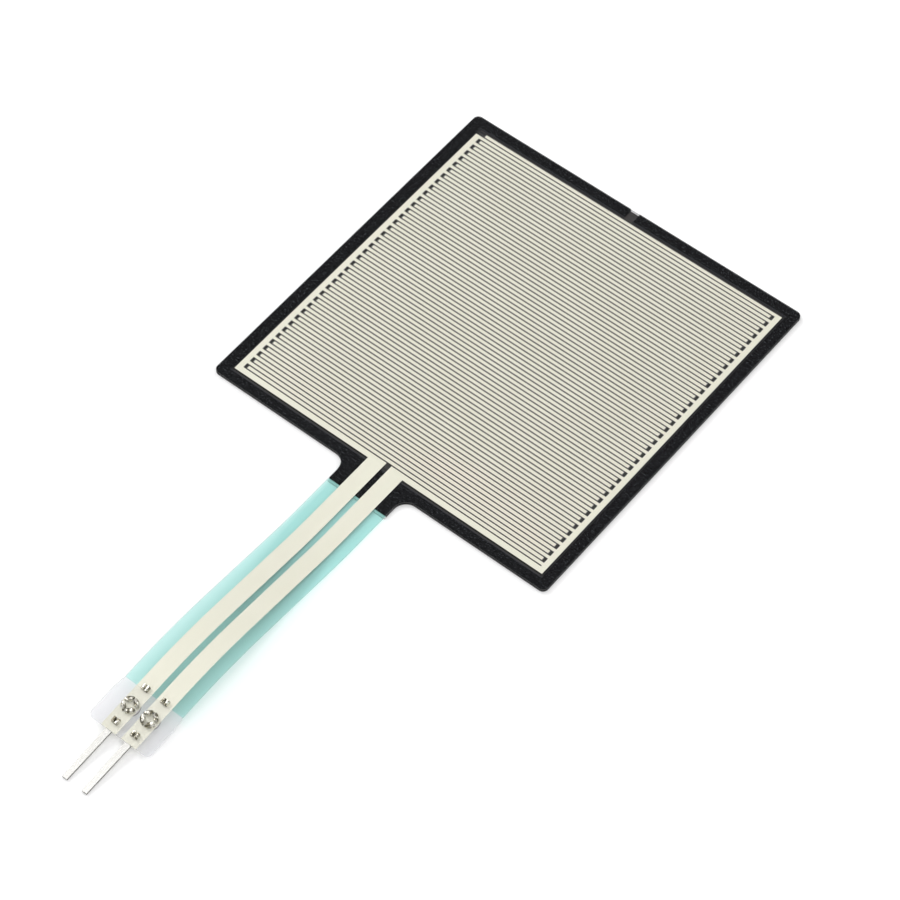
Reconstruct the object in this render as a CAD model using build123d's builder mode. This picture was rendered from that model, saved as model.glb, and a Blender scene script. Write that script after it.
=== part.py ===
"""Square force sensing resistor: a laminated pad, a printed film tail and two crimped solder pins."""
import os
from math import cos, radians, sin, tan

from build123d import *

# Thickness of each layer in millimetres, from the rear face up
rear_adhesive_thickness = 0.05
bottom_film_thickness = 0.13
carbon_thickness = 0.02
spacer_thickness = 0.13
silver_thickness = 0.02
top_film_thickness = 0.13
coating_cover = 0.025

# Outline of the top film: pad, neck, tail and the clear tab at its end
pad_side = 43.69
pad_corner_radius = 0.65
neck_fillet = 1.5
tail_width = 7.5
tail_length = 38.85
tab_width = 7.9
tab_length = 5.3
tab_taper = 1.6
tab_corner_radius = 0.6

# How far the carbon and the bottom film run down the neck
carbon_neck = 2.8
bottom_film_neck = 3.06

# Adhesive ring round the air gap, and the vent through its far side
spacer_border = 1.27
vent_width = 1.13
vent_offset = -0.15
vent_notch_depth = 0.08
vent_notch_fillet = 0.05

# Two silver combs that mesh without touching, and their traces
finger_count = 79
finger_width = 0.355
finger_gap = 0.15
comb_width = 40.64
bus_width = 0.64
tip_gap = 0.4
trace_width = 1.94
trace_gap = 0.66

# Arch of the tail: it lifts off the table, crests, and comes down to the pin tips
lift_distance = 9.5
tail_slope = 5.0
lift_radius = 55.0
strip_run_in = 0.5

# Terminal: a flat strip under the tab that runs on as a solder pin
pin_pitch = 2.54
pin_length = 6.4
pin_tip_width = 0.6
strip_thickness = 0.25
strip_width = 0.72
strip_reach = 6.1
strip_corner_radius = 0.3
claw_seat_margin = 0.14

# Claws that pierce the tab from below and curl in on top of it, measured from the film's end
claw_ring_distance = 3.2
claw_ring_radius = 0.92
claw_metal = 0.2
claw_standing = 0.15
claw_bend_radius = 0.13
claw_slot = 0.3
prong_distances = (1.1, 5.5)
prong_reach = 0.36
prong_width = 0.5
prong_metal = 0.13
prong_standing = 0.12
prong_bend_radius = 0.04
tip_clearance = 0.02

# Levels and distances that follow from the sizes above
carbon_level = rear_adhesive_thickness + bottom_film_thickness
spacer_level = carbon_level + carbon_thickness
film_top = spacer_level + spacer_thickness + top_film_thickness
silver_depth = top_film_thickness + silver_thickness
coating_depth = silver_depth + coating_cover
pad_edge = pad_side / 2
film_end = pad_edge + tail_length
coating_end = film_end - tab_length
finger_pitch = finger_width + finger_gap
comb_height = finger_count * finger_pitch + bus_width
finger_length = comb_width - bus_width - tip_gap

# The two slopes of the arch are equal, and meet where the pin tips just touch the table
slope = radians(tail_slope)
lift_reach = pad_edge + lift_distance
tip_reach = film_end + pin_length * cos(slope)
height_over_tip = (silver_depth + strip_thickness) / cos(slope)
crest_reach = (tip_reach + lift_reach + (height_over_tip - film_top) / tan(slope)) / 2
crest_height = film_top + (crest_reach - lift_reach) * tan(slope)
past_tip = tip_reach + pin_length
headroom = 2 * crest_height

# The crest's arc ends a short run ahead of the strips, which are flat and need a straight film over them
crest_radius = (film_end - strip_reach - strip_run_in - crest_reach) / sin(slope)


def film_line(depth):
    """Side view of the tail at one depth below the film's top face, to beyond the pins."""
    drop = depth / cos(slope)
    return FilletPolyline(
        (pad_side, film_top - depth),
        (-lift_reach - depth * tan(slope / 2), film_top - depth),
        (-crest_reach, crest_height - drop),
        (-past_tip, crest_height - (past_tip - crest_reach) * tan(slope) - drop),
        radius=(lift_radius + depth, crest_radius - depth),
    )


def keep_layer(upper_depth, lower_depth):
    """Keeps only what lies between two depths below the film's top face, along the whole arch."""
    with BuildSketch(Plane.YZ) as side_view:
        with BuildLine():
            upper = film_line(upper_depth)
            lower = film_line(lower_depth)
            Line(upper @ 0, lower @ 0)
            Line(upper @ 1, lower @ 1)
        make_face()
    extrude(side_view.sketch, amount=pad_side, both=True, mode=Mode.INTERSECT)


# Outline that one die cuts through every layer
with BuildSketch() as die_outline:
    RectangleRounded(pad_side, pad_side, pad_corner_radius)
    with BuildLine():
        Polyline(
            (0, 0),
            (tail_width / 2, 0),
            (tail_width / 2, -coating_end),
            (tab_width / 2, -coating_end - tab_taper),
            (tab_width / 2, -film_end),
            (0, -film_end),
        )
        mirror(about=Plane.YZ)
    make_face()
    fillet(die_outline.vertices().group_by(Axis.Y)[0], radius=tab_corner_radius)
    fillet(die_outline.vertices().sort_by_distance((0, -pad_edge))[:2], radius=neck_fillet)
    with Locations((vent_offset, pad_edge)):
        Rectangle(vent_width, 2 * vent_notch_depth, mode=Mode.SUBTRACT)
    fillet(die_outline.vertices().sort_by_distance((vent_offset, pad_edge))[:2], radius=vent_notch_fillet)


def laminate_plan(start, end):
    """Plan of a layer that fills the outline between two distances toward the pins from the pad's centre."""
    add(die_outline.sketch)
    with Locations((0, -start)):
        Rectangle(2 * pad_side, end - start, align=(Align.CENTER, Align.MAX), mode=Mode.INTERSECT)


# Rear adhesive: the soft film of glue that sticks the pad down
with BuildPart() as rear_adhesive:
    with BuildSketch():
        laminate_plan(-pad_edge, pad_edge + bottom_film_neck)
    extrude(amount=rear_adhesive_thickness)

# Bottom film: clear polyester that carries the carbon
with BuildPart() as bottom_film:
    with BuildSketch(Plane.XY.offset(rear_adhesive_thickness)):
        laminate_plan(-pad_edge, pad_edge + bottom_film_neck)
    extrude(amount=bottom_film_thickness)

# Carbon: the black force sensing ink, printed over the whole pad
with BuildPart() as carbon_ink:
    with BuildSketch(Plane.XY.offset(carbon_level)):
        laminate_plan(-pad_edge, pad_edge + carbon_neck)
    extrude(amount=carbon_thickness)


def hook_section(radius, metal, standing, bend_radius):
    """Section of one claw: a stem up through the film, folded over so that its tip comes back down."""
    bend = silver_depth + standing
    tip = silver_depth + tip_clearance
    outer = bend_radius + metal
    middle = radius - outer
    outer_flat = outer * tan(radians(22.5))
    inner_flat = bend_radius * tan(radians(22.5))
    with BuildLine() as outline:
        Polyline(
            (middle + bend_radius, 0),
            (radius, 0),
            (radius, bend + outer_flat),
            (middle + outer_flat, bend + outer),
            (middle - outer_flat, bend + outer),
            (middle - outer, bend + outer_flat),
            (middle - outer, tip),
            (middle - bend_radius, tip),
            (middle - bend_radius, bend + inner_flat),
            (middle - inner_flat, bend + bend_radius),
            (middle + inner_flat, bend + bend_radius),
            (middle + bend_radius, bend + inner_flat),
            close=True,
        )
    make_face(outline.edges())


# Terminal, flat: its origin is on the strip's upper face under the film's end, and the pin points to -Y
with BuildPart() as flat_terminal:
    with BuildSketch(Plane.XY.offset(-strip_thickness)) as strip_plan:
        with BuildLine():
            Polyline(
                (0, strip_reach),
                (strip_width / 2, strip_reach),
                (strip_width / 2, 0),
                (pin_tip_width / 2, -pin_length),
                (0, -pin_length),
            )
            mirror(about=Plane.YZ)
        make_face()
        fillet(strip_plan.vertices().group_by(Axis.Y)[-1], radius=strip_corner_radius)
        with Locations((0, claw_ring_distance)):
            Circle(claw_ring_radius + claw_seat_margin)
    extrude(amount=strip_thickness)
    with BuildSketch(Plane.XZ.offset(-claw_ring_distance)):
        hook_section(claw_ring_radius, claw_metal, claw_standing, claw_bend_radius)
    revolve(axis=Axis((0, claw_ring_distance, 0), (0, 0, 1)))
    with BuildSketch():
        with Locations((0, claw_ring_distance)):
            Rectangle(3 * claw_ring_radius, claw_slot)
            Rectangle(claw_slot, 3 * claw_ring_radius)
    extrude(amount=headroom, mode=Mode.SUBTRACT)
    for distance in prong_distances:
        with BuildSketch(Plane.XZ.offset(-distance)):
            hook_section(prong_reach, prong_metal, prong_standing, prong_bend_radius)
            mirror(about=Plane.YZ)
        extrude(amount=prong_width / 2, both=True)

# Both terminals, crimped in line with the sloping end of the tail, with their tips on the table
seat_height = crest_height - (film_end - crest_reach) * tan(slope) - silver_depth / cos(slope)
terminals = []
for name, x in (("left_terminal", -pin_pitch / 2), ("right_terminal", pin_pitch / 2)):
    seat = Plane(origin=(x, -film_end, seat_height), x_dir=(1, 0, 0), z_dir=(0, -sin(slope), cos(slope)))
    with BuildPart() as terminal:
        add(flat_terminal.part.moved(seat.location))
    terminal.part.label = name
    terminals.append(terminal.part)


def electrode_plan(side, first_finger):
    """Plan of one comb with its bus and trace, on the +X side for 1 and on the -X side for -1."""
    comb_top = comb_height / 2 - first_finger * finger_pitch
    fingers = len(range(first_finger, finger_count, 2))
    middle_finger = comb_top - finger_width / 2 - (fingers - 1) * finger_pitch
    with Locations((side * (comb_width - finger_length) / 2, middle_finger)):
        with GridLocations(finger_length, 2 * finger_pitch, 1, fingers):
            Rectangle(finger_length, finger_width)
    with Locations((side * (comb_width - bus_width) / 2, comb_top)):
        Rectangle(bus_width, comb_top + comb_height / 2, align=(Align.CENTER, Align.MAX))
    with Locations((side * (comb_width + trace_gap) / 4, -comb_height / 2)):
        Rectangle((comb_width - trace_gap) / 2, bus_width, align=(Align.CENTER, Align.MIN))
    with Locations((side * (trace_gap + trace_width) / 2, -film_end)):
        Rectangle(trace_width, film_end - comb_height / 2, align=(Align.CENTER, Align.MIN))


# Right electrode: silver ink under the top film, with the first and the last finger of the pair of combs
with BuildPart() as right_electrode:
    with BuildSketch():
        electrode_plan(1, 0)
    extrude(amount=headroom)
    keep_layer(top_film_thickness, silver_depth)
    add(terminals, mode=Mode.SUBTRACT)

# Left electrode: its fingers lie between those of the right one
with BuildPart() as left_electrode:
    with BuildSketch():
        electrode_plan(-1, 1)
    extrude(amount=headroom)
    keep_layer(top_film_thickness, silver_depth)
    add(terminals, mode=Mode.SUBTRACT)

# Spacer: a ring of adhesive that holds the films apart, let in round the traces, and open at the vent
with BuildPart() as spacer_adhesive:
    with BuildSketch(Plane.XY.offset(spacer_level)):
        laminate_plan(-pad_edge, pad_edge + carbon_neck)
        Rectangle(pad_side - 2 * spacer_border, pad_side - 2 * spacer_border, mode=Mode.SUBTRACT)
        with Locations((vent_offset, pad_edge)):
            Rectangle(vent_width, 4 * spacer_border, mode=Mode.SUBTRACT)
    extrude(amount=spacer_thickness)
    add([left_electrode.part, right_electrode.part], mode=Mode.SUBTRACT)

# Top film: clear polyester, one piece from the pad's far edge to the end of the tab
with BuildPart() as top_film:
    with BuildSketch():
        laminate_plan(-pad_edge, film_end)
    extrude(amount=headroom)
    keep_layer(0, top_film_thickness)
    add(terminals, mode=Mode.SUBTRACT)

# Tail coating: tinted insulating varnish under the tail, over the traces and up to the tab
with BuildPart() as tail_coating:
    with BuildSketch():
        laminate_plan(pad_edge + carbon_neck, coating_end)
    extrude(amount=headroom)
    keep_layer(top_film_thickness, coating_depth)
    add([left_electrode.part, right_electrode.part, *terminals], mode=Mode.SUBTRACT)

rear_adhesive.part.label = "rear_adhesive"
bottom_film.part.label = "bottom_film"
carbon_ink.part.label = "carbon_ink"
spacer_adhesive.part.label = "spacer_adhesive"
left_electrode.part.label = "left_electrode"
right_electrode.part.label = "right_electrode"
top_film.part.label = "top_film"
tail_coating.part.label = "tail_coating"

pieces = [
    rear_adhesive.part,
    bottom_film.part,
    carbon_ink.part,
    spacer_adhesive.part,
    left_electrode.part,
    right_electrode.part,
    top_film.part,
    tail_coating.part,
    *terminals,
]
os.makedirs("parts", exist_ok=True)
for piece in pieces:
    export_step(piece, f"parts/{piece.label}.step")
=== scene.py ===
"""Looks of a square force sensing resistor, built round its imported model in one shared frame."""
from math import asin, cos, pi, radians, sin, tan

import bmesh
import bpy
from mathutils import Matrix, Vector


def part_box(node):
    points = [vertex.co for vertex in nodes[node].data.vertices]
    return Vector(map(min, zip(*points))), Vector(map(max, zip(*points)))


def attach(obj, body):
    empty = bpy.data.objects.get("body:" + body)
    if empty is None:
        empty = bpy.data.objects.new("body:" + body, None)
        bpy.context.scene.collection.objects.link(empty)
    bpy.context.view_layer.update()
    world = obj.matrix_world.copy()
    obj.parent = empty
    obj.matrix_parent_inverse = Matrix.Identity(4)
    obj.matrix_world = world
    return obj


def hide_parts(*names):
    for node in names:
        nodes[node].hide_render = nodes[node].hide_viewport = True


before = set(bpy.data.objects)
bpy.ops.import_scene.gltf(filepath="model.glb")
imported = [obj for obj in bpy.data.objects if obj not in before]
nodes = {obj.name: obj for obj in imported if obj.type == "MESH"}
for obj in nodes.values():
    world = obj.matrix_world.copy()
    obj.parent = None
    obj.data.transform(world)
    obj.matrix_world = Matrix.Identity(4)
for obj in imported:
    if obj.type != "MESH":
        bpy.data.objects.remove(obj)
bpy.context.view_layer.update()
MM = 0.001


# Camera: it looks down over the near right of the pad, from the distance and angle of the photograph.
# The place, the turn and the lens were fitted to the pad's four corners and, with less weight, to the tail's
# edges, claws and pins.
camera_place = Vector((136.121, -170.203, 299.285)) * MM
camera_turn = (radians(34.363), radians(0.863), radians(39.090))
camera_lens = 141.9

camera_data = bpy.data.cameras.new("camera")
camera_data.lens = camera_lens
camera_data.sensor_width = 36.0
camera_data.clip_start = 10 * MM
camera_data.clip_end = 20000 * MM
camera = bpy.data.objects.new("camera", camera_data)
camera.location = camera_place
camera.rotation_euler = camera_turn
bpy.context.scene.collection.objects.link(camera)
bpy.context.scene.camera = camera
bpy.context.scene.view_settings.view_transform = "Standard"


# Studio: a large soft box overhead, smaller ones at the left and behind, and a room with bright walls.
# The room is white to the camera. Its ceiling is dim, which keeps the film's black border deep.
def soft_box(name, place, size, power):
    """A square lamp of even light that faces the object's middle."""
    lamp = bpy.data.lights.new(name, "AREA")
    lamp.shape = "SQUARE"
    lamp.size = size
    lamp.energy = power
    holder = bpy.data.objects.new(name, lamp)
    holder.location = place
    holder.rotation_euler = (Vector(place) - object_middle).to_track_quat("Z", "Y").to_euler()
    bpy.context.scene.collection.objects.link(holder)


def feed(tree, value, socket):
    """Sets a socket to a number, or links it to the output of another node."""
    if isinstance(value, (int, float)):
        socket.default_value = value
    else:
        tree.links.new(value, socket)


def tone_ramp(tree, share, *steps):
    """Tones along a share of 0 to 1. Each step is a share and the tone that it gets."""
    ramp = tree.nodes.new("ShaderNodeValToRGB")
    elements = ramp.color_ramp.elements
    while len(elements) < len(steps):
        elements.new(1.0)
    for element, (position, tone) in zip(elements, steps):
        element.position = position
        element.color = (*tone, 1)
    tree.links.new(share, ramp.inputs[0])
    return ramp.outputs[0]


def mix_shaders(tree, share, first, second):
    """A shader that goes from a first one to a second by a share."""
    mix = tree.nodes.new("ShaderNodeMixShader")
    feed(tree, share, mix.inputs[0])
    tree.links.new(first.outputs[0], mix.inputs[1])
    tree.links.new(second.outputs[0], mix.inputs[2])
    return mix


object_middle = Vector((0, -0.02, 0))
soft_box("overhead_light", place=(0.1, -0.16, 0.88), size=1.05, power=4.9)
soft_box("left_light", place=(-0.65, 0.1, 0.6), size=0.3, power=2.4)
soft_box("back_light", place=(0.25, 0.75, 0.6), size=0.5, power=1.2)

horizon_tone = (0.06, 0.06, 0.06)
wall_tone = (0.9, 0.9, 0.9)
ceiling_tone = (0.24, 0.24, 0.24)
world = bpy.data.worlds.new("room")
world.use_nodes = True
bpy.context.scene.world = world
tree = world.node_tree
tree.nodes.clear()
direction = tree.nodes.new("ShaderNodeTexCoord")
height = tree.nodes.new("ShaderNodeSeparateXYZ")
room = tree.nodes.new("ShaderNodeBackground")
white_room = tree.nodes.new("ShaderNodeBackground")
white_room.inputs["Color"].default_value = (1, 1, 1, 1)
ray = tree.nodes.new("ShaderNodeLightPath")
world_out = tree.nodes.new("ShaderNodeOutputWorld")
tree.links.new(direction.outputs["Generated"], height.inputs[0])
shade = tone_ramp(tree, height.outputs["Z"], (0.02, horizon_tone), (0.55, wall_tone),
                  (0.72, ceiling_tone), (1.0, ceiling_tone))
tree.links.new(shade, room.inputs["Color"])
seen_room = mix_shaders(tree, ray.outputs["Is Camera Ray"], room, white_room)
tree.links.new(seen_room.outputs[0], world_out.inputs[0])


# Floor: a plain white table that keeps the object's soft shadow.
# A little light of its own, more of it far out, keeps the table white for the camera and for what mirrors it.
def show(tree, shader):
    """Puts a shader on the output of a material."""
    tree.links.new(shader.outputs[0], tree.nodes["Material Output"].inputs["Surface"])


def new_material(name):
    """A material with a Principled shader on its output."""
    made = bpy.data.materials.new(name)
    made.use_nodes = True
    tree = made.node_tree
    tree.nodes.clear()
    surface = tree.nodes.new("ShaderNodeBsdfPrincipled")
    tree.nodes.new("ShaderNodeOutputMaterial")
    show(tree, surface)
    return made, tree, surface


def reckon(tree, operation, *values):
    """Result of one sum on numbers and the outputs of other nodes."""
    step = tree.nodes.new("ShaderNodeMath")
    step.operation = operation
    for value, socket in zip(values, step.inputs):
        feed(tree, value, socket)
    return step.outputs[0]


floor_size = 6.0
floor_drop = 0.01 * MM
table_lift = 0.1
far_lift = 1.0
fade_from = 160 * MM
fade_to = 700 * MM
floor_shape = bmesh.new()
bmesh.ops.create_grid(floor_shape, x_segments=1, y_segments=1, size=floor_size / 2,
                      matrix=Matrix.Translation((0, 0, -floor_drop)))
floor_mesh = bpy.data.meshes.new("floor")
floor_shape.to_mesh(floor_mesh)
floor_shape.free()
floor = bpy.data.objects.new("floor", floor_mesh)
bpy.context.scene.collection.objects.link(floor)

table_white, tree, surface = new_material("table_white")
surface.inputs["Base Color"].default_value = (0.92, 0.92, 0.92, 1)
surface.inputs["Roughness"].default_value = 0.9
surface.inputs["Specular IOR Level"].default_value = 0.0
glow = tree.nodes.new("ShaderNodeEmission")
seen = tree.nodes.new("ShaderNodeLightPath")
place = tree.nodes.new("ShaderNodeTexCoord")
distance_out = tree.nodes.new("ShaderNodeVectorMath")
distance_out.operation = "LENGTH"
lift = tree.nodes.new("ShaderNodeMapRange")
lift.inputs["From Min"].default_value = fade_from
lift.inputs["From Max"].default_value = fade_to
lift.inputs["To Min"].default_value = table_lift
lift.inputs["To Max"].default_value = far_lift
together = tree.nodes.new("ShaderNodeAddShader")
tree.links.new(place.outputs["Object"], distance_out.inputs[0])
tree.links.new(distance_out.outputs["Value"], lift.inputs["Value"])
either = reckon(tree, "MAXIMUM", seen.outputs["Is Camera Ray"], seen.outputs["Is Glossy Ray"])
tree.links.new(reckon(tree, "MULTIPLY", either, lift.outputs["Result"]), glow.inputs["Strength"])
tree.links.new(surface.outputs[0], together.inputs[0])
tree.links.new(glow.outputs[0], together.inputs[1])
show(tree, together)
floor_mesh.materials.append(table_white)


# Rear adhesive: a soft clear film of acrylic glue on the back of the pad.
# It is tacky and slightly dimpled, and lets the film above it show through.
def noise_bump(tree, surface, scale, strength, depth, detail=3.0):
    """Fine unevenness of a surface, in the object's own coordinates. It gives back the noise."""
    place = tree.nodes.new("ShaderNodeTexCoord")
    noise = tree.nodes.new("ShaderNodeTexNoise")
    noise.inputs["Scale"].default_value = scale
    noise.inputs["Detail"].default_value = detail
    bump = tree.nodes.new("ShaderNodeBump")
    bump.inputs["Strength"].default_value = strength
    bump.inputs["Distance"].default_value = depth
    tree.links.new(place.outputs["Object"], noise.inputs["Vector"])
    tree.links.new(noise.outputs["Fac"], bump.inputs["Height"])
    tree.links.new(bump.outputs["Normal"], surface.inputs["Normal"])
    return noise.outputs["Fac"]


def see_through(tree, surface, tint, cover):
    """Lets what lies behind a thin layer show, tinted, past the share of it that covers."""
    clear = tree.nodes.new("ShaderNodeBsdfTransparent")
    clear.inputs["Color"].default_value = (*tint, 1)
    show(tree, mix_shaders(tree, cover, clear, surface))


def give(piece, finish):
    """Puts one finish on a whole piece."""
    piece.data.materials.clear()
    piece.data.materials.append(finish)


clear_glue, tree, surface = new_material("clear_glue")
surface.inputs["Base Color"].default_value = (0.8, 0.81, 0.78, 1)
surface.inputs["Roughness"].default_value = 0.42
surface.inputs["IOR"].default_value = 1.47
noise_bump(tree, surface, scale=900.0, strength=0.5, depth=0.01 * MM)
see_through(tree, surface, tint=(0.99, 0.99, 0.985), cover=0.04)
give(nodes["rear_adhesive"], clear_glue)


# Bottom film: clear polyester that carries the carbon on its inner face.
# A thin shine lies on its faces. Its cut edges are painted near black, for the black stack behind them and as
# painted shade. Its bare strip at the tail is painted milky pale, as painted light.
def clear_film(name, gloss_roughness, tint, edge_tone, edge_cover):
    """Polyester film: clear, with a shine that grows at low angles, and a plain tone where it was cut."""
    made, tree, surface = new_material(name)
    surface.inputs["Base Color"].default_value = (edge_tone, edge_tone, edge_tone, 1)
    surface.inputs["Roughness"].default_value = 0.5
    shine = tree.nodes.new("ShaderNodeBsdfAnisotropic")
    shine.inputs["Roughness"].default_value = gloss_roughness
    clear = tree.nodes.new("ShaderNodeBsdfTransparent")
    clear.inputs["Color"].default_value = (*tint, 1)
    facing = tree.nodes.new("ShaderNodeFresnel")
    facing.inputs["IOR"].default_value = 1.45
    side = tree.nodes.new("ShaderNodeNewGeometry")
    outward = reckon(tree, "SUBTRACT", 1.0, side.outputs["Backfacing"])
    face = mix_shaders(tree, reckon(tree, "MULTIPLY", outward, facing.outputs[0]), clear, shine)
    place = tree.nodes.new("ShaderNodeTexCoord")
    upright = tree.nodes.new("ShaderNodeSeparateXYZ")
    tree.links.new(place.outputs["Normal"], upright.inputs[0])
    level = reckon(tree, "ABSOLUTE", upright.outputs["Z"])
    cut = reckon(tree, "LESS_THAN", level, cut_face_limit)
    whole = mix_shaders(tree, reckon(tree, "MULTIPLY", cut, edge_cover), face, surface)
    show(tree, whole)
    return made, tree, whole


def haze_and_painted_light_below(tree, plain, limit, tone, cover):
    """Makes a film paler where its Y lies below a limit: real haze on the tab, painted light on the bottom
    film's bare strip.
    """
    pale_face = tree.nodes.new("ShaderNodeBsdfPrincipled")
    pale_face.inputs["Base Color"].default_value = (*tone, 1)
    pale_face.inputs["Roughness"].default_value = 0.5
    place = tree.nodes.new("ShaderNodeTexCoord")
    along = tree.nodes.new("ShaderNodeSeparateXYZ")
    tree.links.new(place.outputs["Object"], along.inputs[0])
    beyond = reckon(tree, "LESS_THAN", along.outputs["Y"], limit)
    show(tree, mix_shaders(tree, reckon(tree, "MULTIPLY", beyond, cover), plain, pale_face))


cut_face_limit = 0.5
strip_margin = 0.005 * MM
carbon_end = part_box("carbon_ink")[0].y
# The cut edges are painted near black, partly for the black stack behind them and partly as painted shade.
lower_film, tree, plain = clear_film("clear_polyester_lower", gloss_roughness=0.2, tint=(0.99, 0.99, 0.99),
                                     edge_tone=0.02, edge_cover=0.8)
# The bare strip beyond the carbon is painted pale, a painted light for its lit edges.
haze_and_painted_light_below(tree, plain, limit=carbon_end - strip_margin, tone=(0.86, 0.88, 0.87), cover=0.85)
give(nodes["bottom_film"], lower_film)


# Carbon: black force sensing ink, screen printed over the whole pad in a dry, slightly grainy coat.
# Under the open gap it looks dark grey. A line round the silver combs is painted blacker, as painted shade:
# the combs' shadow on the carbon below their edges.
def square_reach(tree):
    """Distances of a point from the pad's two middle lines."""
    place = tree.nodes.new("ShaderNodeTexCoord")
    split = tree.nodes.new("ShaderNodeSeparateXYZ")
    tree.links.new(place.outputs["Object"], split.inputs[0])
    return reckon(tree, "ABSOLUTE", split.outputs["X"]), reckon(tree, "ABSOLUTE", split.outputs["Y"])


def blend_tone(tree, surface, share, first, second):
    """Base colour that goes from one tone to a fixed one by a share."""
    blend = tree.nodes.new("ShaderNodeMix")
    blend.data_type = "RGBA"
    blend.inputs["B"].default_value = (*second, 1)
    tree.links.new(share, blend.inputs["Factor"])
    tree.links.new(first, blend.inputs["A"])
    tree.links.new(blend.outputs["Result"], surface.inputs["Base Color"])


comb_half = 20.32 * MM
shade_line_inside = 0.12 * MM
shade_line_outside = 0.1 * MM
shade_line_middle = comb_half + (shade_line_outside - shade_line_inside) / 2
shade_line_half = (shade_line_outside + shade_line_inside) / 2
carbon_black, tree, surface = new_material("carbon_black")
surface.inputs["Roughness"].default_value = 0.7
surface.inputs["IOR"].default_value = 1.5
grain = noise_bump(tree, surface, scale=9000.0, strength=0.35, depth=0.01 * MM)
tone = tone_ramp(tree, grain, (0.3, (0.024, 0.0215, 0.02)), (0.7, (0.048, 0.044, 0.041)))
sideways, lengthways = square_reach(tree)
# Painted shade: the band just round the combs is painted near black.
shade_beside = reckon(tree, "GREATER_THAN", sideways, comb_half - shade_line_inside)
shade_ahead = reckon(tree, "COMPARE", lengthways, shade_line_middle, shade_line_half)
on_shade_line = reckon(tree, "MAXIMUM", shade_beside, shade_ahead)
blend_tone(tree, surface, on_shade_line, tone, (0.005, 0.005, 0.005))
give(nodes["carbon_ink"], carbon_black)


# Arch of the tail: the film leaves the table on one arc, crests on another and comes down to the pins.
# Every layer of the tail is a copy of its solid, cut finely along the arcs and laid exactly on that line.
film_thickness = 0.13 * MM
ink_thickness = 0.02 * MM
lift_distance = 9.5 * MM
tail_slope = radians(5.0)
lift_radius = 55.0 * MM
pin_length = 6.4 * MM
strip_thickness = 0.25 * MM
strip_reach = 6.1 * MM
strip_run_in = 0.5 * MM
station_step = 0.3 * MM
weld_distance = 0.001 * MM
arch_cut_tolerance = 1e-7
crease_angle = radians(30)

pad_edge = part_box("bottom_film")[1].x
film_end = -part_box("top_film")[0].y
flat_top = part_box("spacer_adhesive")[1].z + film_thickness
ink_bottom = film_thickness + ink_thickness
lift_reach = pad_edge + lift_distance
tip_reach = film_end + pin_length * cos(tail_slope)
over_tip = (ink_bottom + strip_thickness) / cos(tail_slope)
crest_reach = (tip_reach + lift_reach + (over_tip - flat_top) / tan(tail_slope)) / 2
crest_radius = (film_end - strip_reach - strip_run_in - crest_reach) / sin(tail_slope)
lift_start = lift_reach - lift_radius * tan(tail_slope / 2)
lift_stop = lift_start + lift_radius * sin(tail_slope)
crest_start = crest_reach - crest_radius * sin(tail_slope)
crest_stop = crest_reach + crest_radius * sin(tail_slope)


def slope_at(reach):
    """Slope of the film, as an angle, at a distance toward the pins from the pad's centre."""
    if reach < lift_start:
        return 0.0
    if reach < lift_stop:
        return asin((reach - lift_start) / lift_radius)
    if reach < crest_start:
        return tail_slope
    if reach < crest_stop:
        return asin((crest_reach - reach) / crest_radius)
    return -tail_slope


def film_height(reach):
    """Height of the film's top face at a distance toward the pins from the pad's centre."""
    lift = lift_radius * (1 - cos(slope_at(min(max(reach, lift_start), lift_stop))))
    rise = max(0.0, min(reach, crest_start) - lift_stop) * tan(tail_slope)
    on_crest = slope_at(min(max(reach, crest_start), crest_stop))
    crest = crest_radius * (cos(on_crest) - cos(tail_slope)) if reach > crest_start else 0.0
    fall = max(0.0, reach - crest_stop) * tan(tail_slope)
    return flat_top + lift + rise + crest - fall


def stations():
    """Places along the two arcs where every layer is cut."""
    for start, stop in ((lift_start, lift_stop), (crest_start, crest_stop)):
        count = round((stop - start) / station_step)
        for i in range(count + 1):
            yield start + (stop - start) * i / count


def solid_copy(node):
    """The shape of one solid, with its facets joined where they meet."""
    shape = bmesh.new()
    shape.from_mesh(nodes[node].data)
    bmesh.ops.remove_doubles(shape, verts=shape.verts, dist=weld_distance)
    return shape


def everything(shape):
    """All corners, edges and faces of a shape."""
    return shape.verts[:] + shape.edges[:] + shape.faces[:]


def finished_piece(name, shape, node):
    """Turns a shape into a piece that stands for a node, smooth but for its creases."""
    for face in shape.faces:
        face.smooth = True
    for edge in shape.edges:
        edge.smooth = len(edge.link_faces) == 2 and edge.calc_face_angle() < crease_angle
    mesh = bpy.data.meshes.new(name)
    shape.to_mesh(mesh)
    shape.free()
    piece = bpy.data.objects.new(name, mesh)
    bpy.context.scene.collection.objects.link(piece)
    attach(piece, "root")
    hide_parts(node)
    return piece


def laid_on_arch(name, node, depths):
    """A copy of one layer on the exact arch, with its faces moved from the modelled depths to those given."""
    shape = solid_copy(node)
    laid_depth = shape.verts.layers.float.new("laid_depth")
    for vert in shape.verts:
        modelled = (film_height(-vert.co.y) - vert.co.z) * cos(slope_at(-vert.co.y))
        nearest = min(depths, key=lambda depth: abs(depth - modelled))
        vert[laid_depth] = depths[nearest]
    for reach in stations():
        bmesh.ops.bisect_plane(shape, geom=everything(shape), dist=arch_cut_tolerance,
                               plane_co=(0, -reach, 0), plane_no=(0, 1, 0))
    for vert in shape.verts:
        vert.co.z = film_height(-vert.co.y) - vert[laid_depth] / cos(slope_at(-vert.co.y))
    shape.verts.layers.float.remove(laid_depth)
    return finished_piece(name, shape, node)
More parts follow.
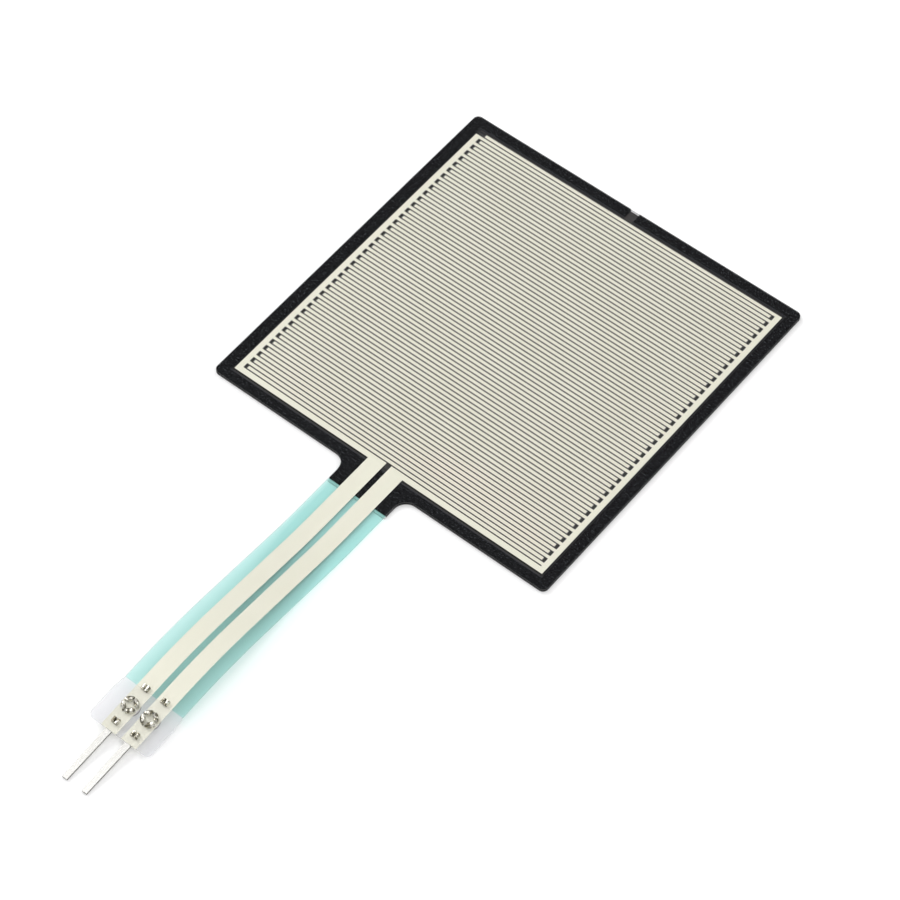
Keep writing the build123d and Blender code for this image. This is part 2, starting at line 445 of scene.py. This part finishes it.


# Spacer: a ring of clear adhesive that holds the two films apart round the open gap.
# The carbon looks deep black through it, but for a grey line along its inner rim on the near and far sides:
# the glue's unwetted rim, with painted light for its lit inner wall.
spacer_border = 1.27 * MM
rim_width = 0.1 * MM
hair_gap = 0.003 * MM
wet_glue, tree, surface = new_material("wetting_glue")
surface.inputs["Roughness"].default_value = 0.5
surface.inputs["Specular IOR Level"].default_value = 0.0
speck = noise_bump(tree, surface, scale=6000.0, strength=0.1, depth=0.004 * MM, detail=2.0)
tone = tone_ramp(tree, speck, (0.5, (0.002, 0.002, 0.003)), (0.68, (0.085, 0.091, 0.097)))
sideways, lengthways = square_reach(tree)
spacer_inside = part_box("spacer_adhesive")[1].x - spacer_border
# The grey rim line is partly the unwetted glue and partly painted light for the lit inner wall.
between = reckon(tree, "LESS_THAN", sideways, spacer_inside)
near_gap = reckon(tree, "LESS_THAN", lengthways, spacer_inside + rim_width)
unwet_and_lit_rim = reckon(tree, "MULTIPLY", between, near_gap)
blend_tone(tree, surface, unwet_and_lit_rim, tone, (0.07, 0.073, 0.08))
see_through(tree, surface, tint=(0.3, 0.3, 0.32), cover=0.6)

carbon_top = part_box("carbon_ink")[1].z
shape = solid_copy("spacer_adhesive")
underside = [vert for vert in shape.verts if vert.co.z < carbon_top + hair_gap]
bmesh.ops.translate(shape, verts=underside, vec=(0, 0, hair_gap))
spacer = finished_piece("spacer_glue", shape, "spacer_adhesive")
give(spacer, wet_glue)


# Electrodes: two combs of silver ink on the underside of the top film, with their bus bars and traces.
# Seen through the film the ink is a warm cream, with the soft broad shine of fine flakes in a binder.
silver_ink, tree, surface = new_material("silver_ink")
surface.inputs["Metallic"].default_value = 0.25
surface.inputs["Roughness"].default_value = 0.55
flakes = noise_bump(tree, surface, scale=14000.0, strength=0.25, depth=0.004 * MM)
cloud = tree.nodes.new("ShaderNodeTexNoise")
cloud.inputs["Scale"].default_value = 160.0
cloud.inputs["Detail"].default_value = 4.0
place = tree.nodes.new("ShaderNodeTexCoord")
tree.links.new(place.outputs["Object"], cloud.inputs["Vector"])
both = reckon(tree, "ADD", flakes, cloud.outputs["Fac"])
mean = reckon(tree, "MULTIPLY", both, 0.5)
tone = tone_ramp(tree, mean, (0.35, (0.93, 0.908, 0.74)), (0.65, (0.965, 0.943, 0.785)))
tree.links.new(tone, surface.inputs["Base Color"])
for side in ("left", "right"):
    electrode = laid_on_arch(f"{side}_silver_comb", f"{side}_electrode",
                             {film_thickness: film_thickness, ink_bottom: ink_bottom})
    give(electrode, silver_ink)


# Top film: one piece of clear polyester from the pad's far edge to the end of the tab.
# It stays a hair above the ink, so that light finds one face at a time.
# The pad's cut edge is painted near black, for the black stack behind it and as painted shade, and the bare
# tab looks a little milky.
top_film = laid_on_arch("top_film_sheet", "top_film", {0.0: 0.0, film_thickness: film_thickness - hair_gap})
# The film's cut wall round the pad is painted near black: the dark stack behind it, and painted shade.
near_black_wall, tree, surface = new_material("near_black_cut_wall")
surface.inputs["Base Color"].default_value = (0.012, 0.012, 0.013, 1)
surface.inputs["Roughness"].default_value = 0.3
noise_bump(tree, surface, scale=3000.0, strength=0.8, depth=0.03 * MM)
see_through(tree, surface, tint=(0.6, 0.6, 0.6), cover=0.85)
upper_film, tree, plain = clear_film("clear_polyester_upper", gloss_roughness=0.16,
                                     tint=(0.955, 0.957, 0.965), edge_tone=0.5, edge_cover=0.35)
coating_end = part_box("tail_coating")[0].y
haze_and_painted_light_below(tree, plain, limit=coating_end, tone=(0.8, 0.8, 0.83), cover=0.075)
film_finishes = [upper_film, near_black_wall]
for finish in film_finishes:
    top_film.data.materials.append(finish)
neck_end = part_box("bottom_film")[0].y
for face in top_film.data.polygons:
    pad_wall = face.center.y > neck_end and abs(face.normal.z) < cut_face_limit
    face.material_index = film_finishes.index(near_black_wall if pad_wall else upper_film)


# Tail coating: a pale green-blue varnish under the tail, printed over the traces and up to the tab.
# It is translucent, so the table and the shadows of the traces show through it.
coating_cover = 0.025 * MM
varnish, tree, surface = new_material("tinted_varnish")
surface.inputs["Roughness"].default_value = 0.45
mottle = noise_bump(tree, surface, scale=2500.0, strength=0.2, depth=0.006 * MM)
tone = tone_ramp(tree, mottle, (0.3, (0.46, 0.9, 0.7)), (0.7, (0.54, 0.98, 0.78)))
tree.links.new(tone, surface.inputs["Base Color"])
see_through(tree, surface, tint=(0.848, 0.998, 0.982), cover=0.045)
coating_bottom = ink_bottom + coating_cover
coating = laid_on_arch("tinted_coating", "tail_coating",
                       {film_thickness: film_thickness + hair_gap, ink_bottom: ink_bottom + hair_gap,
                        coating_bottom: coating_bottom})
give(coating, varnish)


# Terminals: each is stamped from tinned sheet, a flat strip under the tab that runs on as a solder pin.
# Four curled claws in a ring and two pairs of small prongs pierce the film and fold back down on top of it.
ring_distance = 3.2 * MM
ring_radius = 0.92 * MM
ring_metal = 0.16 * MM
ring_standing = 0.15 * MM
ring_bend = 0.1 * MM
ring_slot = 0.3 * MM
ring_arc_steps = 10
ring_turn_steps = 14
prong_distances = (1.1 * MM, 5.5 * MM)
prong_reach = 0.4 * MM
prong_metal = 0.13 * MM
prong_standing = 0.12 * MM
prong_bend = 0.04 * MM
prong_width = 0.6 * MM
prong_arc_steps = 8
tip_clearance = 0.02 * MM
pin_pitch = 2.54 * MM
stub = 0.02 * MM
claw_cut_tolerance = 1e-8


def hook_face(shape, reach, metal, standing, bend_radius, arc_steps):
    """Outline of one claw: a stem up through the film, rolled over so that its tip comes back down."""
    outer = bend_radius + metal
    middle = reach - outer
    bend = ink_bottom + standing
    tip = ink_bottom + tip_clearance
    outline = [(reach, 0.0)]
    for i in range(arc_steps + 1):
        turn = pi * i / arc_steps
        outline.append((middle + outer * cos(turn), bend + outer * sin(turn)))
    outline.append((middle - outer, tip))
    outline.append((middle - bend_radius, tip))
    for i in range(arc_steps + 1):
        turn = pi * (1 - i / arc_steps)
        outline.append((middle + bend_radius * cos(turn), bend + bend_radius * sin(turn)))
    outline.append((middle + bend_radius, 0.0))
    return shape.faces.new([shape.verts.new((x, 0, z)) for x, z in outline])


def only_verts(parts):
    """The corners among some parts of a shape."""
    return [part for part in parts if isinstance(part, bmesh.types.BMVert)]


def close_cut(shape):
    """Fills the holes that a cut left."""
    bmesh.ops.holes_fill(shape, edges=[edge for edge in shape.edges if edge.is_boundary], sides=0)


def claw_ring():
    """Four claws that were torn from the strip as a star and rolled inwards."""
    shape = bmesh.new()
    face = hook_face(shape, ring_radius, ring_metal, ring_standing, ring_bend, ring_arc_steps)
    bmesh.ops.spin(shape, geom=[face] + face.edges[:] + face.verts[:], cent=(0, 0, 0), axis=(0, 0, 1),
                   dvec=(0, 0, 0), angle=pi / 2, steps=ring_turn_steps, use_merge=False,
                   use_normal_flip=False, use_duplicate=False)
    for normal in ((1, 0, 0), (0, 1, 0)):
        bmesh.ops.bisect_plane(shape, geom=everything(shape), dist=claw_cut_tolerance,
                               plane_co=Vector(normal) * ring_slot / 2, plane_no=normal, clear_inner=True)
        close_cut(shape)
    claw = everything(shape)
    for quarter in (1, 2, 3):
        copied = bmesh.ops.duplicate(shape, geom=claw)["geom"]
        bmesh.ops.rotate(shape, verts=only_verts(copied), cent=(0, 0, 0),
                         matrix=Matrix.Rotation(quarter * pi / 2, 3, "Z"))
    bmesh.ops.translate(shape, verts=shape.verts, vec=(0, ring_distance, 0))
    return shape


def prong_pair(distance):
    """Two small prongs that curl towards each other."""
    shape = bmesh.new()
    face = hook_face(shape, prong_reach, prong_metal, prong_standing, prong_bend, prong_arc_steps)
    grown = bmesh.ops.extrude_face_region(shape, geom=[face])["geom"]
    bmesh.ops.translate(shape, verts=only_verts(grown), vec=(0, prong_width, 0))
    copied = bmesh.ops.duplicate(shape, geom=everything(shape))["geom"]
    bmesh.ops.rotate(shape, verts=only_verts(copied), cent=(0, prong_width / 2, 0),
                     matrix=Matrix.Rotation(pi, 3, "Z"))
    bmesh.ops.translate(shape, verts=shape.verts, vec=(0, distance - prong_width / 2, 0))
    return shape


tin, tree, surface = new_material("tin_plate")
surface.inputs["Base Color"].default_value = (0.91, 0.9, 0.865, 1)
surface.inputs["Metallic"].default_value = 1.0
rolled = noise_bump(tree, surface, scale=5000.0, strength=0.12, depth=0.004 * MM)
gloss = tree.nodes.new("ShaderNodeMapRange")
gloss.inputs["To Min"].default_value = 0.16
gloss.inputs["To Max"].default_value = 0.3
tree.links.new(rolled, gloss.inputs["Value"])
tree.links.new(gloss.outputs["Result"], surface.inputs["Roughness"])

# The claws' tin is painted with dark olive patches: painted reflections of dark surroundings in their curls,
# on the same noise as their dents.
claw_tin_painted_reflections, tree, surface = new_material("claw_tin_painted_reflections")
surface.inputs["Metallic"].default_value = 1.0
surface.inputs["Roughness"].default_value = 0.22
dents_and_painted_reflections = noise_bump(tree, surface, scale=2600.0, strength=0.5, depth=0.05 * MM, detail=2.0)
tone = tone_ramp(tree, dents_and_painted_reflections, (0.42, (0.17, 0.155, 0.11)), (0.6, (0.88, 0.86, 0.78)))
tree.links.new(tone, surface.inputs["Base Color"])

# The sheared side walls are dull bare metal, painted darker still as painted shade where they mirror the
# dark, shaded table beside the pins.
bare_and_shaded_cut_metal, tree, surface = new_material("cut_edge_painted_shade")
surface.inputs["Metallic"].default_value = 0.8
surface.inputs["Roughness"].default_value = 0.5
streaks = noise_bump(tree, surface, scale=9000.0, strength=0.2, depth=0.004 * MM)
tone = tone_ramp(tree, streaks, (0.0, (0.16, 0.155, 0.145)), (1.0, (0.3, 0.29, 0.27)))
tree.links.new(tone, surface.inputs["Base Color"])

metal_finishes = [tin, bare_and_shaded_cut_metal, claw_tin_painted_reflections]
seat_height = film_height(film_end) - ink_bottom / cos(tail_slope)
for side, x in (("left", -pin_pitch / 2), ("right", pin_pitch / 2)):
    seat = Matrix.Translation((x, -film_end, seat_height)) @ Matrix.Rotation(tail_slope, 4, "X")
    shape = solid_copy(f"{side}_terminal")
    bmesh.ops.transform(shape, verts=shape.verts, matrix=seat.inverted())
    bmesh.ops.bisect_plane(shape, geom=everything(shape), dist=claw_cut_tolerance,
                           plane_co=(0, 0, stub), plane_no=(0, 0, 1), clear_outer=True)
    close_cut(shape)
    shape.normal_update()
    for face in shape.faces:
        cut_wall = abs(face.normal.z) < cut_face_limit and face.calc_center_median().z < 0
        face.material_index = metal_finishes.index(bare_and_shaded_cut_metal if cut_wall else tin)
    for part in (claw_ring(), prong_pair(prong_distances[0]), prong_pair(prong_distances[1])):
        for face in part.faces:
            face.material_index = metal_finishes.index(claw_tin_painted_reflections)
        part_mesh = bpy.data.meshes.new("claws")
        part.to_mesh(part_mesh)
        part.free()
        shape.from_mesh(part_mesh)
        bpy.data.meshes.remove(part_mesh)
    bmesh.ops.recalc_face_normals(shape, faces=shape.faces)
    bmesh.ops.transform(shape, verts=shape.verts, matrix=seat)
    terminal = finished_piece(f"{side}_crimped_pin", shape, f"{side}_terminal")
    for finish in metal_finishes:
        terminal.data.materials.append(finish)
